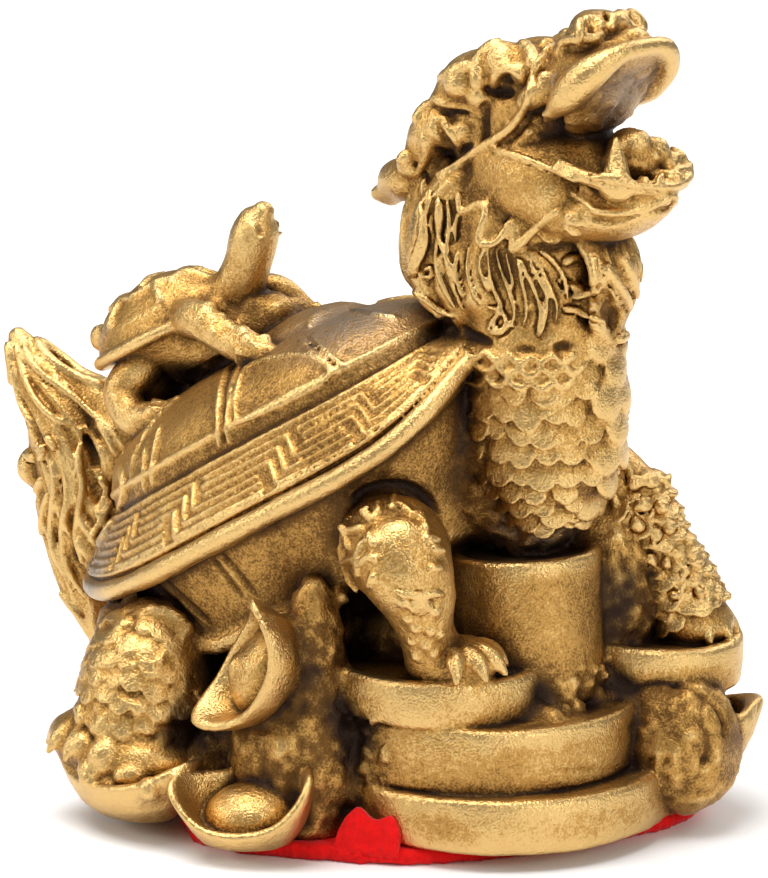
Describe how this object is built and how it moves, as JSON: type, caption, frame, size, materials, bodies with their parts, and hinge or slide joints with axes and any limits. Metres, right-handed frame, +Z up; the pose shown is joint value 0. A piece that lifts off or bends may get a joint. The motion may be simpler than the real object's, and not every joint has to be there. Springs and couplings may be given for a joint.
{
  "type": "dragon turtle figure",
  "caption": "Small cast brass dragon turtle standing on coins and ingots with a young turtle on its shell, on a cut felt pad.",
  "frame": {"origin": "on the felt pad's underside, below the middle of the figure's base", "axes": "+X the way the animal faces, +Y its left side, +Z up"},
  "size_m": [0.0573, 0.0369, 0.0581],
  "materials": {
    "brass": "sand-cast brass, polished on its high spots, brown in its hollows",
    "felt": "red craft felt with a cut edge"
  },
  "bodies": {
    "root": {"casting": "brass", "felt_pad": "felt"}
  },
  "joints": []
}
